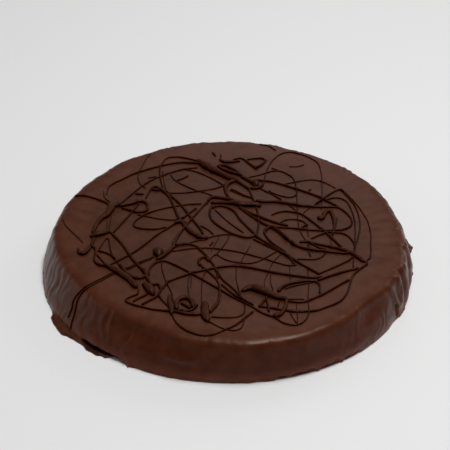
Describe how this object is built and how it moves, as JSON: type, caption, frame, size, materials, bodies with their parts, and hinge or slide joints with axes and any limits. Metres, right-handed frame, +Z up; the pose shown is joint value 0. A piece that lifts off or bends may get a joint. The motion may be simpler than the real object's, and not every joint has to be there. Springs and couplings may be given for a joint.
{
  "type": "chocolate hazelnut cake",
  "caption": "Low round uncut cake under a poured dark chocolate coat, with a rounded shoulder, a run-out foot and fine chocolate threads drizzled across the flat top.",
  "frame": {"origin": "middle of the flat underside, on the plane that the cake rests on", "axes": "+Z up out of the top; -Y towards the front of the picture; +X to the right as seen from the front"},
  "size_m": [0.2606, 0.2622, 0.0336],
  "materials": {
    "chocolate": "satin dark chocolate, poured and set, with softer sheen on the side"
  },
  "bodies": {
    "root": {"cake": "chocolate"}
  },
  "joints": []
}
